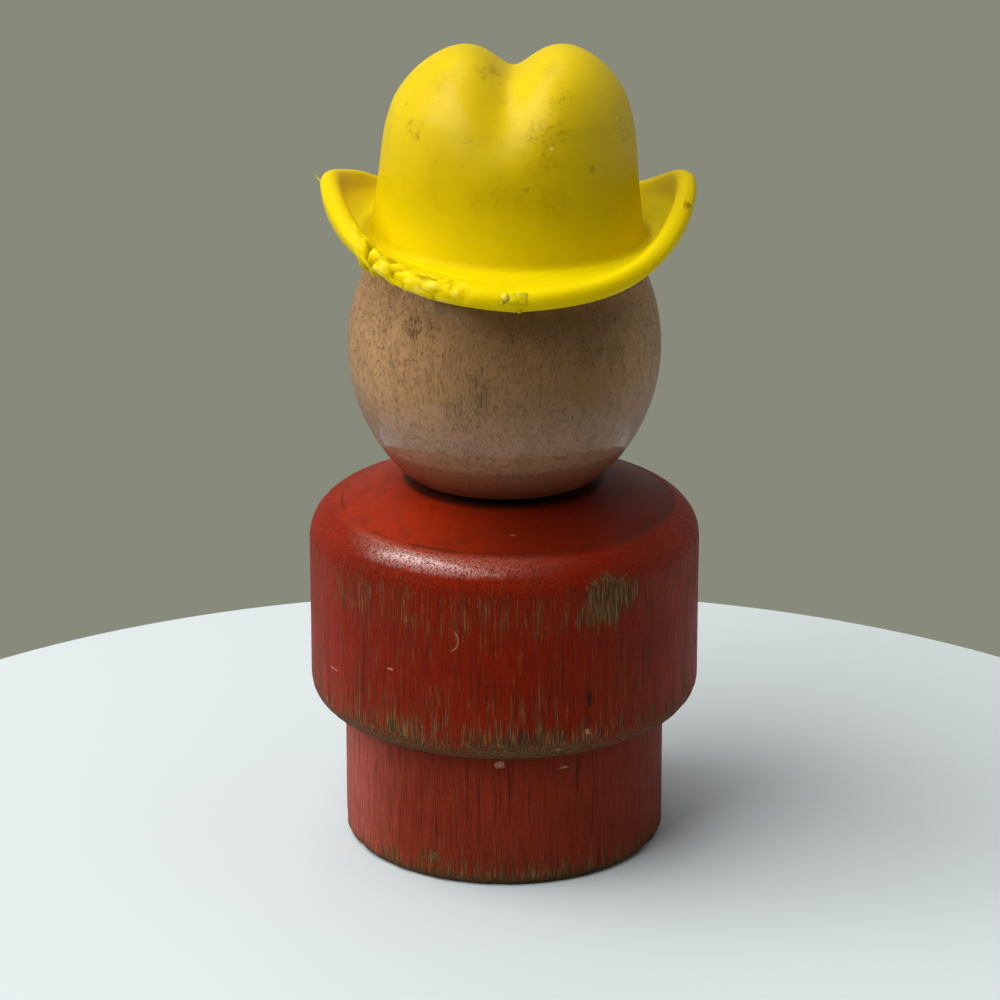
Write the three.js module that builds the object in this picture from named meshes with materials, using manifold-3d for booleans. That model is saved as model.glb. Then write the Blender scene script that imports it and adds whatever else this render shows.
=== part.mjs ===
// Wooden peg figure: a turned body, a ball head on a neck dowel, and a moulded hat that plugs into the head.
// Millimetres, +Z up. The origin is the centre of the base's underside, and the figure faces +Y.
import * as THREE from "three";
import { mergeVertices } from "three/addons/utils/BufferGeometryUtils.js";
import Module from "manifold-3d";

const wasm = await Module();
wasm.setup();

// Body: a narrow peg base under a wide drum
const BASE_DIAMETER = 21.6;
const BASE_HEIGHT = 9.6;
const BASE_EDGE_RADIUS = 0.7;
const DRUM_DIAMETER = 26.2;
const DRUM_HEIGHT = 13.95;
const DRUM_EDGE_RADIUS = 1.9;
const SHOULDER_RADIUS = 2.5;
const SHOULDER_HEIGHT = 2.35;
const TOP_RISE = 1.85;
const TOP_FLAT_DIAMETER = 13.2;

// Neck dowel, glued into the body, which holds the head just clear of the body and on which it turns
const DOWEL_DIAMETER = 5;
const DOWEL_DEPTH_IN_BODY = 10;
const DOWEL_DEPTH_IN_HEAD = 9;
const DOWEL_CHAMFER = 0.5;
const GLUE_GAP = 0.05;
const NECK_GAP = 0.45;
const RUNNING_GAP = 0.1;
const HOLE_END_GAP = 0.2;

// Head: a ball turned a little taller than wide, cut flat underneath
const HEAD_DIAMETER = 20.8;
const HEAD_HEIGHT = 22.4;
const HEAD_FLAT_DEPTH = 2.45;

// Hat: one moulded shell of crown and brim, with a stem under the crown
const MOUTH_DIAMETER = 17.4;
const HAT_WALL = 1.2;
const CROWN_DIAMETER = 17.9;
const CROWN_SHOULDER_DIAMETER = 16.7;
const CROWN_SHOULDER_HEIGHT = 4.7;
const CROWN_HEIGHT = 12.8;
const CROWN_ROUNDNESS = 2.3;
const CROWN_FOOT_RADIUS = 0.8;
const BRIM_THICKNESS = 1.15;
const BRIM_SIDE_DIAMETER = 23.6;
const BRIM_END_DIAMETER = 25.6;
const BRIM_SIDE_RISE = 4.5;
const BRIM_END_DROP = 0.9;
const BRIM_SIDE_KNEE = 0.82;
const BRIM_END_KNEE = 0.5;
const BRIM_PEAK_SHARPNESS = 4.5;
const BRIM_PEAK_SHARE = 0.8;
const RIM_RADIUS = 0.35;
const CREASE_DEPTH = 2.1;
const CREASE_HALF_WIDTH = 2.35;
const CREASE_LENGTH_DOWN = 8.7;
const CREASE_TURN = THREE.MathUtils.degToRad(-5);
const STEM_DIAMETER = 3.4;
const STEM_DEPTH_IN_HEAD = 6.4;
const STEM_CHAMFER = 0.4;
const STEM_GAP = 0.12;
const HAT_SEAT_GAP = 0.3;
const HAT_LEAN = THREE.MathUtils.degToRad(1.5);
const HAT_TURN = THREE.MathUtils.degToRad(2.2);

// Facets: steps round each turned piece, and steps along each curve of an outline
const BODY_SIDES = 64;
const DOWEL_SIDES = 36;
const HEAD_SIDES = 56;
const HAT_SIDES = 64;
const EDGE_STEPS = 3;
const HEAD_STEPS = 9;
const CROWN_STEPS = 10;
const BRIM_STEPS = 6;
const QUARTER_TURN = Math.PI / 2;

// Finishes
const RED_PAINT = { color: 0xa02a18, roughness: 0.4, metalness: 0 };
const DOWEL_WOOD = { color: 0xd9bd92, roughness: 0.7, metalness: 0 };
const HEAD_WOOD = { color: 0xa98260, roughness: 0.5, metalness: 0 };
const YELLOW_PLASTIC = { color: 0xe8cf12, roughness: 0.45, metalness: 0 };

const bodyTop = BASE_HEIGHT + DRUM_HEIGHT + TOP_RISE;
const dowelRadius = DOWEL_DIAMETER / 2;
const dowelLength = DOWEL_DEPTH_IN_BODY + NECK_GAP + DOWEL_DEPTH_IN_HEAD;
const headRadius = HEAD_DIAMETER / 2;
const headHalfHeight = HEAD_HEIGHT / 2;
const headFlatBelowCentre = headHalfHeight - HEAD_FLAT_DEPTH;
const headCentre = bodyTop + NECK_GAP + headFlatBelowCentre;
const stemRadius = STEM_DIAMETER / 2;
const stemTip = headHalfHeight - STEM_DEPTH_IN_HEAD;

// Radius of the ball at a height from its centre, and the height at which it has a radius
function ballRadiusAt(height) {
  return headRadius * Math.sqrt(1 - (height / headHalfHeight) ** 2);
}

function ballHeightAt(radius) {
  return headHalfHeight * Math.sqrt(1 - (radius / headRadius) ** 2);
}

// A closed solid of revolution about +Z from an outline of (radius, height) that starts and ends on the axis
function turned(outline, sides) {
  const geometry = new THREE.LatheGeometry(outline, sides);
  geometry.rotateX(QUARTER_TURN);
  return geometry;
}

function bodyOutline() {
  const baseRadius = BASE_DIAMETER / 2;
  const drumRadius = DRUM_DIAMETER / 2;
  const boreRadius = dowelRadius + GLUE_GAP;
  const boreFloor = bodyTop - DOWEL_DEPTH_IN_BODY - HOLE_END_GAP;
  const shoulderStart = BASE_HEIGHT + DRUM_HEIGHT - SHOULDER_HEIGHT;
  const shoulderSweep = Math.asin(SHOULDER_HEIGHT / SHOULDER_RADIUS);
  const baseEdge = baseRadius - BASE_EDGE_RADIUS;
  const drumEdge = drumRadius - DRUM_EDGE_RADIUS;
  const outline = new THREE.Path();
  outline.moveTo(0, 0);
  outline.lineTo(baseEdge, 0);
  outline.absarc(baseEdge, BASE_EDGE_RADIUS, BASE_EDGE_RADIUS, -QUARTER_TURN, 0);
  outline.lineTo(baseRadius, BASE_HEIGHT);
  outline.lineTo(drumEdge, BASE_HEIGHT);
  outline.absarc(drumEdge, BASE_HEIGHT + DRUM_EDGE_RADIUS, DRUM_EDGE_RADIUS, -QUARTER_TURN, 0);
  outline.absarc(drumRadius - SHOULDER_RADIUS, shoulderStart, SHOULDER_RADIUS, 0, shoulderSweep);
  outline.lineTo(TOP_FLAT_DIAMETER / 2, bodyTop);
  outline.lineTo(boreRadius, bodyTop);
  outline.lineTo(boreRadius, boreFloor);
  outline.lineTo(0, boreFloor);
  return outline.getPoints(EDGE_STEPS);
}

function dowelOutline() {
  const outline = new THREE.Path();
  outline.moveTo(0, 0);
  outline.lineTo(dowelRadius - DOWEL_CHAMFER, 0);
  outline.lineTo(dowelRadius, DOWEL_CHAMFER);
  outline.lineTo(dowelRadius, dowelLength - DOWEL_CHAMFER);
  outline.lineTo(dowelRadius - DOWEL_CHAMFER, dowelLength);
  outline.lineTo(0, dowelLength);
  return outline.getPoints();
}

// The ball with the dowel's blind hole, heights from the ball's centre
function headOutline() {
  const holeRadius = dowelRadius + RUNNING_GAP;
  const holeEnd = DOWEL_DEPTH_IN_HEAD + HOLE_END_GAP - headFlatBelowCentre;
  const flatRadius = ballRadiusAt(headFlatBelowCentre);
  const flatAngle = -Math.asin(headFlatBelowCentre / headHalfHeight);
  const outline = new THREE.Path();
  outline.moveTo(0, holeEnd);
  outline.lineTo(holeRadius, holeEnd);
  outline.lineTo(holeRadius, -headFlatBelowCentre);
  outline.lineTo(flatRadius, -headFlatBelowCentre);
  outline.absellipse(0, 0, headRadius, headHalfHeight, flatAngle, QUARTER_TURN);
  return outline.getPoints(HEAD_STEPS);
}

// The hat before it is bent, heights from the head's centre: its mouth rests where the ball fills it
const brimUnderside = ballHeightAt(MOUTH_DIAMETER / 2 - HAT_SEAT_GAP);
const brimMiddle = brimUnderside + BRIM_THICKNESS / 2;
const brimTop = brimUnderside + BRIM_THICKNESS;
const crownTop = brimTop + CROWN_HEIGHT;
const crownShoulder = brimTop + CROWN_SHOULDER_HEIGHT;
const brimRoot = CROWN_DIAMETER / 2;
const flatRim = BRIM_END_DIAMETER / 2;

// A round-topped curve from the crown's shoulder to its top, drawn in by an inset
function crownArch(inset, steps) {
  const radius = CROWN_SHOULDER_DIAMETER / 2 - inset;
  const rise = crownTop - crownShoulder - inset;
  const points = [];
  for (let step = 0; step <= steps; step += 1) {
    const angle = (QUARTER_TURN * step) / steps;
    const across = radius * Math.cos(angle) ** (2 / CROWN_ROUNDNESS);
    const up = rise * Math.sin(angle) ** (2 / CROWN_ROUNDNESS);
    points.push(new THREE.Vector2(step === steps ? 0 : across, crownShoulder + up));
  }
  return points;
}

function hatOutline() {
  const wallFoot = brimRoot - HAT_WALL;
  const mouthTop = ballHeightAt(wallFoot - HAT_SEAT_GAP);
  const inside = crownArch(HAT_WALL, CROWN_STEPS).filter((point) => point.x > stemRadius);
  const ceiling = inside[inside.length - 1].y;
  const outline = [new THREE.Vector2(0, stemTip)];
  outline.push(new THREE.Vector2(stemRadius - STEM_CHAMFER, stemTip));
  outline.push(new THREE.Vector2(stemRadius, stemTip + STEM_CHAMFER));
  outline.push(new THREE.Vector2(stemRadius, ceiling));
  outline.push(...inside.reverse());
  outline.push(new THREE.Vector2(wallFoot, mouthTop));
  outline.push(new THREE.Vector2(MOUTH_DIAMETER / 2, brimUnderside));
  for (let step = 1; step < BRIM_STEPS; step += 1) {
    const out = THREE.MathUtils.lerp(brimRoot, flatRim, step / BRIM_STEPS);
    outline.push(new THREE.Vector2(out, brimUnderside));
  }
  outline.push(new THREE.Vector2(flatRim - RIM_RADIUS, brimUnderside));
  outline.push(new THREE.Vector2(flatRim, brimUnderside + RIM_RADIUS));
  outline.push(new THREE.Vector2(flatRim, brimTop - RIM_RADIUS));
  outline.push(new THREE.Vector2(flatRim - RIM_RADIUS, brimTop));
  for (let step = BRIM_STEPS - 1; step > 1; step -= 1) {
    const out = THREE.MathUtils.lerp(brimRoot, flatRim, step / BRIM_STEPS);
    outline.push(new THREE.Vector2(out, brimTop));
  }
  const foot = new THREE.Path();
  const footCentre = brimRoot + CROWN_FOOT_RADIUS;
  foot.absarc(footCentre, brimTop + CROWN_FOOT_RADIUS, CROWN_FOOT_RADIUS, -QUARTER_TURN, -Math.PI, true);
  outline.push(...foot.getPoints(EDGE_STEPS));
  outline.push(...crownArch(0, CROWN_STEPS));
  return outline;
}

// The brim's section in a direction round the hat: a curve that leaves the crown level and turns at its knee,
// steeply up at the two sides and a little down at front and back
function brimSection(angle) {
  const sideways = Math.abs(Math.cos(angle));
  const share = THREE.MathUtils.lerp(sideways, sideways ** BRIM_PEAK_SHARPNESS, BRIM_PEAK_SHARE);
  const width = THREE.MathUtils.lerp(BRIM_END_DIAMETER, BRIM_SIDE_DIAMETER, sideways ** 2) / 2 - brimRoot;
  const rise = THREE.MathUtils.lerp(-BRIM_END_DROP, BRIM_SIDE_RISE, share);
  const knee = width * THREE.MathUtils.lerp(BRIM_END_KNEE, BRIM_SIDE_KNEE, share);
  return new THREE.QuadraticBezierCurve(
    new THREE.Vector2(brimRoot, brimMiddle),
    new THREE.Vector2(brimRoot + knee, brimMiddle),
    new THREE.Vector2(brimRoot + width, brimMiddle + rise),
  );
}

// Bends a point of the flat brim along the section in its direction, at its own depth in the brim
function bendBrim(point) {
  const angle = Math.atan2(point.y, point.x);
  const reach = (Math.hypot(point.x, point.y) - brimRoot) / (flatRim - brimRoot);
  if (reach <= 0) {
    return;
  }
  const section = brimSection(angle);
  const place = section.getPoint(reach);
  const heading = section.getTangent(reach);
  const layer = point.z - brimMiddle;
  const out = place.x - layer * heading.y;
  const up = place.y + layer * heading.x;
  point.set(out * Math.cos(angle), out * Math.sin(angle), up);
}

// Presses the front-to-back crease into the crown, towards a point inside it, fading out down the wall
function pressCrease(point) {
  const foot = crownTop - CREASE_LENGTH_DOWN;
  const across = point.x * Math.cos(CREASE_TURN) + point.y * Math.sin(CREASE_TURN);
  const share = THREE.MathUtils.smoothstep(point.z, foot, crownTop);
  const depth = CREASE_DEPTH * share * Math.exp(-((across / CREASE_HALF_WIDTH) ** 2));
  const inward = new THREE.Vector3(0, 0, foot).sub(point).normalize();
  point.addScaledVector(inward, depth);
}

function hatGeometry() {
  const geometry = turned(hatOutline(), HAT_SIDES);
  const places = geometry.getAttribute("position");
  const point = new THREE.Vector3();
  for (let index = 0; index < places.count; index += 1) {
    point.fromBufferAttribute(places, index);
    bendBrim(point);
    pressCrease(point);
    places.setXYZ(index, point.x, point.y, point.z);
  }
  return geometry;
}

// A closed geometry as a solid that can be cut, and back
function solidFrom(geometry) {
  const bare = geometry.clone();
  bare.deleteAttribute("normal");
  bare.deleteAttribute("uv");
  const merged = mergeVertices(bare);
  const triVerts = new Uint32Array(merged.index.array);
  const vertProperties = merged.getAttribute("position").array;
  return new wasm.Manifold(new wasm.Mesh({ numProp: 3, vertProperties, triVerts }));
}

function geometryFrom(solid) {
  const mesh = solid.getMesh();
  const geometry = new THREE.BufferGeometry();
  geometry.setAttribute("position", new THREE.BufferAttribute(mesh.vertProperties, 3));
  geometry.setIndex(new THREE.BufferAttribute(mesh.triVerts, 1));
  return geometry;
}

// The ball, with the hat's stem hole drilled at the hat's lean
function headGeometry() {
  const holeRadius = stemRadius + STEM_GAP;
  const holeFloor = stemTip - HOLE_END_GAP;
  const drillLength = headHalfHeight + holeRadius - holeFloor;
  const drill = new THREE.CylinderGeometry(holeRadius, holeRadius, drillLength, DOWEL_SIDES);
  drill.rotateX(QUARTER_TURN);
  drill.translate(0, 0, holeFloor + drillLength / 2);
  drill.rotateY(HAT_LEAN);
  const ball = solidFrom(turned(headOutline(), HEAD_SIDES));
  return geometryFrom(ball.subtract(solidFrom(drill)));
}

function piece(name, geometry, finish) {
  const mesh = new THREE.Mesh(geometry, new THREE.MeshStandardMaterial(finish));
  mesh.name = name;
  return mesh;
}

const body = piece("body", turned(bodyOutline(), BODY_SIDES), RED_PAINT);

const neckDowel = piece("neck_dowel", turned(dowelOutline(), DOWEL_SIDES), DOWEL_WOOD);
neckDowel.position.z = bodyTop - DOWEL_DEPTH_IN_BODY;

const head = piece("head", headGeometry(), HEAD_WOOD);
head.position.z = headCentre;

const hat = piece("hat", hatGeometry(), YELLOW_PLASTIC);
hat.position.z = headCentre;
hat.rotation.set(0, HAT_LEAN, HAT_TURN);

const figure = new THREE.Group();
figure.name = "peg_figure";
figure.add(body, neckDowel, head, hat);

export default figure;
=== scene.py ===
# %% [markdown]
# # A worn wooden peg figure with a moulded hat
# The figure is a turned body, a ball head on a short dowel and a soft plastic hat. The CAD frame gives every
# place and joint, so each piece here is a finer version of one CAD node, made where that node already is.
# The lesson works in millimetres, because that is how a turner measures, and scales each piece at its end.

# %% Load the frame
import math

import bmesh
import bpy
from mathutils import Matrix, Vector, noise


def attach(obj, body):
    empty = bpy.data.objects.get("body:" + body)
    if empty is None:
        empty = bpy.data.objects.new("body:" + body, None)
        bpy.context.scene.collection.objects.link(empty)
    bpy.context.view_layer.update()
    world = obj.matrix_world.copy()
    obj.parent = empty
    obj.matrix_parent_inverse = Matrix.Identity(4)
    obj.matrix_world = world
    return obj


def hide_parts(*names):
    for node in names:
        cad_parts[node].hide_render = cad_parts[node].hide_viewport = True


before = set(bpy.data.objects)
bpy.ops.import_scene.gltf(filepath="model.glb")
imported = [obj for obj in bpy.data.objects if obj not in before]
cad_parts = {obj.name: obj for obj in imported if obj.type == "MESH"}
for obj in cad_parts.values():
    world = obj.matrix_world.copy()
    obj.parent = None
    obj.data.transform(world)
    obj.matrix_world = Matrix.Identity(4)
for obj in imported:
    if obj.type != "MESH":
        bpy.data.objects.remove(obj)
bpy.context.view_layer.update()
MM = 0.001

# %% [markdown]
# ## Camera
# The photograph looks slightly down at the figure through a long lens, from behind the figure. A camera
# that was fitted to the outlines of the body and head gives the distance, tilt and lens, so the render
# lines up.

# %% Camera
CAMERA_PLACE = (0, -282.64 * MM, 125.58 * MM)
CAMERA_TILT = math.radians(90 - 19.85)
CAMERA_YAW = math.radians(0.06)
CAMERA_LENS = 161.03
NEAREST_SEEN = 0.01

camera = bpy.data.objects.new("camera", bpy.data.cameras.new("camera"))
camera.location = CAMERA_PLACE
camera.rotation_euler = (CAMERA_TILT, 0, CAMERA_YAW)
camera.data.lens = CAMERA_LENS
camera.data.clip_start = NEAREST_SEEN
bpy.context.scene.collection.objects.link(camera)
bpy.context.scene.camera = camera
print("Camera lens in millimetres:", CAMERA_LENS)

# %% [markdown]
# ## Node helpers
# Materials are trees of small nodes. They could be wired by hand in the editor, but a few helpers keep a
# long script readable: one adds a node and sets or links its inputs, and the others do one sum, one soft
# step or one mix of two colours. A value that is itself a socket is linked, and any other value is set.


# %% Node helpers
def plug(tree, socket, value):
    if isinstance(value, bpy.types.NodeSocket):
        tree.links.new(value, socket)
    else:
        socket.default_value = value


def add_node(tree, kind, inputs=None, **settings):
    node = tree.nodes.new(kind)
    for name, value in settings.items():
        setattr(node, name, value)
    for key, value in (inputs or {}).items():
        plug(tree, node.inputs[key], value)
    return node


def calculate(tree, operation, *values):
    node = add_node(tree, "ShaderNodeMath", operation=operation)
    for socket, value in zip(node.inputs, values):
        plug(tree, socket, value)
    return node.outputs[0]


def times(tree, first, second):
    return calculate(tree, "MULTIPLY", first, second)


def colour_mix(tree, share, first, second):
    node = add_node(tree, "ShaderNodeMix", {0: share, 6: first, 7: second}, data_type="RGBA")
    return node.outputs[2]


def stain(tree, below, above, mask, strength):
    return colour_mix(tree, times(tree, mask, strength), below, above)


def fade(tree, value, start, end):
    inputs = {"Value": value, "From Min": start, "From Max": end}
    node = add_node(tree, "ShaderNodeMapRange", inputs, interpolation_type="SMOOTHSTEP")
    return node.outputs[0]


def new_material(name):
    material = bpy.data.materials.new(name)
    material.use_nodes = True
    return material, material.node_tree, material.node_tree.nodes["Principled BSDF"]


print("Node helpers ready")

# %% [markdown]
# ## Floor, background and light
# The figure stands on a plain pale round floor, whose near half is drawn out so that it runs under the
# camera. A large soft lamp, high on the left, gives the window's light, and a narrower one overhead
# stands for a bright ceiling. A dim world fills the shade: it is lighter at the sides and above than in
# front, as a room is, and it shows as a quiet grey behind the figure.

# %% Floor
FLOOR_RADIUS = 58.3
FLOOR_CENTRE = (0, -14.4, 0)
FLOOR_COLOUR = (0.545, 0.596, 0.616, 1)
FLOOR_ROUGHNESS = 0.75
FLOOR_SEGMENTS = 192
NEAR_HALF_STRETCH = 4

floor_material, floor_tree, floor_shader = new_material("pale_floor")
plug(floor_tree, floor_shader.inputs["Base Color"], FLOOR_COLOUR)
plug(floor_tree, floor_shader.inputs["Roughness"], FLOOR_ROUGHNESS)
floor_bm = bmesh.new()
bmesh.ops.create_circle(floor_bm, cap_ends=True, radius=FLOOR_RADIUS, segments=FLOOR_SEGMENTS)
near_half = [vert for vert in floor_bm.verts if vert.co.y < 0]
bmesh.ops.scale(floor_bm, vec=(1, NEAR_HALF_STRETCH, 1), verts=near_half)
bmesh.ops.translate(floor_bm, vec=FLOOR_CENTRE, verts=floor_bm.verts)
bmesh.ops.scale(floor_bm, vec=(MM, MM, MM), verts=floor_bm.verts)
floor_mesh = bpy.data.meshes.new("floor")
floor_bm.to_mesh(floor_mesh)
floor_bm.free()
floor_mesh.materials.append(floor_material)
floor = bpy.data.objects.new("floor", floor_mesh)
bpy.context.scene.collection.objects.link(floor)
print("Floor radius in millimetres:", FLOOR_RADIUS)

# %% Lamps
LAMP_DISTANCE = 0.5
LAMP_AIM = (0, 0, 27 * MM)
LAMP_COLOUR = (1, 0.99, 0.97)
WINDOW_TOWARDS = (-0.573, -0.292, 0.766)
WINDOW_SIZE = (0.6, 0.5)
WINDOW_POWER = 4.15
CEILING_TOWARDS = (-0.28, 0.34, 0.9)
CEILING_SIZE = (0.5, 0.22)
CEILING_POWER = 0.68


def soft_lamp(name, towards, size, power):
    lamp = bpy.data.objects.new(name, bpy.data.lights.new(name, "AREA"))
    lamp.data.shape = "RECTANGLE"
    lamp.data.size, lamp.data.size_y = size
    lamp.data.energy = power
    lamp.data.color = LAMP_COLOUR
    lamp.location = Vector(towards).normalized() * LAMP_DISTANCE + Vector(LAMP_AIM)
    lamp.rotation_euler = Vector(towards).to_track_quat("Z", "Y").to_euler()
    bpy.context.scene.collection.objects.link(lamp)


soft_lamp("window_lamp", WINDOW_TOWARDS, WINDOW_SIZE, WINDOW_POWER)
soft_lamp("ceiling_lamp", CEILING_TOWARDS, CEILING_SIZE, CEILING_POWER)
print("Lamps:", len(bpy.data.lights))

# %% World
FILL_SIDES = (0.44, 0.44, 0.42, 1)
FILL_RIGHT = (0.6, 0.6, 0.57, 1)
FILL_BACK = (0.22, 0.22, 0.2, 1)
FILL_FRONT = (0.08, 0.08, 0.077, 1)
FILL_ABOVE = (0.38, 0.38, 0.37, 1)
BACKGROUND_COLOUR = (0.246, 0.254, 0.2, 1)

world = bpy.data.worlds.new("quiet_room")
world.use_nodes = True
bpy.context.scene.world = world
world_tree = world.node_tree
direction = add_node(world_tree, "ShaderNodeTexCoord").outputs["Generated"]
sideways, depth, upwards = add_node(world_tree, "ShaderNodeSeparateXYZ", {0: direction}).outputs
off_middle = calculate(world_tree, "ABSOLUTE", sideways)
fill_colour = colour_mix(world_tree, fade(world_tree, off_middle, 0.3, 0.9), FILL_BACK, FILL_SIDES)
fill_colour = colour_mix(world_tree, fade(world_tree, sideways, 0.6, 0.95), fill_colour, FILL_RIGHT)
fill_colour = colour_mix(world_tree, fade(world_tree, depth, -0.9, 0.2), FILL_FRONT, fill_colour)
fill_colour = colour_mix(world_tree, fade(world_tree, upwards, 0.35, 0.95), fill_colour, FILL_ABOVE)
seen = add_node(world_tree, "ShaderNodeLightPath").outputs["Is Camera Ray"]
room_colour = colour_mix(world_tree, seen, fill_colour, BACKGROUND_COLOUR)
plug(world_tree, world_tree.nodes["Background"].inputs["Color"], room_colour)
bpy.context.scene.view_settings.view_transform = "Standard"
print("World nodes:", len(world_tree.nodes))

# %% [markdown]
# ## A turner's pen and lathe
# Every piece of this figure was turned, or moulded in a tool that was turned. So each starts as an
# outline drawn with a pen on the plane through the axis: straight strokes are an extruded vertex, and
# round strokes are a vertex spun about a centre. A full spin with merging then turns the outline into a
# closed solid.

# %% Pen and lathe
UPRIGHT = (0, 0, 1)
MERGE_DISTANCE = 1e-4


def pen_start(bm, radius, height):
    return bm.verts.new((radius, 0, height))


def pen_line(bm, tip, radius, height, cuts=0):
    start = tip.co.copy()
    end = Vector((radius, 0, height))
    for step in range(1, cuts + 2):
        tip = bmesh.ops.extrude_vert_indiv(bm, verts=[tip])["verts"][0]
        tip.co = start.lerp(end, step / (cuts + 1))
    return tip


def pen_arc(bm, tip, radius, height, degrees, steps):
    centre = (radius, 0, height)
    sweep = math.radians(degrees)
    stroke = bmesh.ops.spin(bm, geom=[tip], cent=centre, axis=(0, -1, 0), angle=sweep, steps=steps)
    return next(item for item in stroke["geom_last"] if isinstance(item, bmesh.types.BMVert))


def turn_on_lathe(bm, steps):
    outline = bm.verts[:] + bm.edges[:]
    bmesh.ops.spin(
        bm, geom=outline, cent=(0, 0, 0), axis=UPRIGHT, angle=math.tau, steps=steps, use_merge=True
    )
    bmesh.ops.remove_doubles(bm, verts=bm.verts, dist=MERGE_DISTANCE)
    bmesh.ops.recalc_face_normals(bm, faces=bm.faces)


def finish_piece(bm, name, body, node=None, sharp_angle=40):
    bmesh.ops.scale(bm, vec=(MM, MM, MM), verts=bm.verts)
    mesh = bpy.data.meshes.new(name)
    bm.to_mesh(mesh)
    bm.free()
    mesh.shade_smooth()
    mesh.set_sharp_from_angle(angle=math.radians(sharp_angle))
    piece = bpy.data.objects.new(name, mesh)
    bpy.context.scene.collection.objects.link(piece)
    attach(piece, body)
    if node:
        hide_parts(node)
    mesh.calc_loop_triangles()
    print(name, "has", len(mesh.loop_triangles), "triangles")
    return piece


print("Pen and lathe ready")

# %% [markdown]
# ## Body outline
# The body is one length of hardwood turned to a narrow base and a wide drum. The drum's lower edge is
# well rounded, its shoulder breaks at a soft ridge into a top that rises to the neck, and a blind hole
# takes the dowel.

# %% Body outline
BASE_RADIUS = 10.8
BASE_HEIGHT = 9.6
BASE_EDGE = 0.7
DRUM_RADIUS = 13.1
DRUM_TOP = 23.55
DRUM_EDGE = 1.9
SHOULDER_RADIUS = 2.5
SHOULDER_FOOT = 21.2
SHOULDER_SWEEP = 70.05
RIDGE_WIDTH = 0.12
RIDGE_RISE = 0.01
BODY_TOP = 25.4
TOP_FLAT_RADIUS = 6.6
BORE_RADIUS = 2.55
BORE_FLOOR = 15.2
BODY_STEPS = 400

body_bm = bmesh.new()
tip = pen_start(body_bm, 0, 0)
tip = pen_line(body_bm, tip, BASE_RADIUS - BASE_EDGE, 0, cuts=4)
tip = pen_arc(body_bm, tip, BASE_RADIUS - BASE_EDGE, BASE_EDGE, 90, 7)
tip = pen_line(body_bm, tip, BASE_RADIUS, BASE_HEIGHT, cuts=22)
tip = pen_line(body_bm, tip, DRUM_RADIUS - DRUM_EDGE, BASE_HEIGHT, cuts=1)
tip = pen_arc(body_bm, tip, DRUM_RADIUS - DRUM_EDGE, BASE_HEIGHT + DRUM_EDGE, 90, 12)
tip = pen_line(body_bm, tip, DRUM_RADIUS, SHOULDER_FOOT, cuts=28)
tip = pen_arc(body_bm, tip, DRUM_RADIUS - SHOULDER_RADIUS, SHOULDER_FOOT, SHOULDER_SWEEP, 14)
tip = pen_line(body_bm, tip, tip.co.x - RIDGE_WIDTH, tip.co.z + RIDGE_RISE)
tip = pen_line(body_bm, tip, TOP_FLAT_RADIUS, BODY_TOP, cuts=14)
tip = pen_line(body_bm, tip, BORE_RADIUS, BODY_TOP, cuts=1)
tip = pen_line(body_bm, tip, BORE_RADIUS, BORE_FLOOR)
pen_line(body_bm, tip, 0, BORE_FLOOR)
print("Outline vertices:", len(body_bm.verts))
turn_on_lathe(body_bm, BODY_STEPS)

# %% [markdown]
# ## Wear in the body's shape
# Years of play have raised the grain and bruised the edges. The raised grain could be left to a bump map,
# but a small real relief also bends the outline and the highlights. Each vertex moves along the radius by
# a noise that is stretched along the grain, and single knocks are pressed in as smooth hollows.

# %% Body relief
GRAIN_RELIEF = 0.03
RELIEF_WIDTH = 0.55
RELIEF_LENGTH = 9
EDGE_BRUISE = 0.22
BRUISE_WIDTH = 1.3
BRUISE_LENGTH = 1.6
BRUISE_SEED = 7
BRUISE_START = 0.12
SMOOTH_TOP = DRUM_TOP - 0.3
KNOCKS = [
    ((5.59, -11.83, 13.9), (0.3, 0.4, 1.0), 0.22),
    ((5.47, -11.89, 11.8), (0.5, 0.6, 0.4), 0.15),
    ((-0.3, -10.79, 8.84), (0.55, 0.5, 0.4), 0.14),
    ((4.0, -10.03, 8.29), (0.45, 0.5, 0.25), 0.1),
    ((7.05, -11.03, 20.9), (2.5, 2.5, 1.9), 0.09),
    ((-4.98, -9.58, 1.78), (0.7, 0.7, 0.5), 0.12),
    ((-9.2, 9.3, 12.2), (1.2, 1.2, 0.8), 0.16),
    ((3.1, 12.7, 19.6), (1.6, 1.2, 1.1), 0.1),
    ((10.4, 2.8, 1.2), (1.1, 1.1, 0.7), 0.14),
]


def knock(point, centre, size, depth):
    away = Vector((part / reach for part, reach in zip(point - Vector(centre), size))).length
    return depth * (1 - away * away) ** 2 if away < 1 else 0


def bell(value, middle, width):
    return math.exp(-(((value - middle) / width) ** 2))


for vert in body_bm.verts:
    place = vert.co.copy()
    radius = math.hypot(place.x, place.y)
    if radius < BASE_RADIUS - BASE_EDGE or place.z > SMOOTH_TOP:
        continue
    along_grain = Vector((place.x / RELIEF_WIDTH, place.y / RELIEF_WIDTH, place.z / RELIEF_LENGTH))
    raised = GRAIN_RELIEF * noise.noise(along_grain)
    edge = max(bell(place.z, 0.5, 0.6), bell(place.z, BASE_HEIGHT + 0.7, 0.8))
    patchy = Vector((place.x / BRUISE_WIDTH, place.y / BRUISE_WIDTH, place.z / BRUISE_LENGTH + BRUISE_SEED))
    bruise = max(0, noise.noise(patchy) - BRUISE_START)
    sunk = EDGE_BRUISE * edge * bruise + sum(knock(place, *details) for details in KNOCKS)
    share = (radius + raised - sunk) / radius
    vert.co.x *= share
    vert.co.y *= share
body = finish_piece(body_bm, "body_turned", "torso", "body")

# %% Body ridge
RIDGE_LEAST_HEIGHT = DRUM_TOP - 0.1
RIDGE_TOLERANCE = 0.01

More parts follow.
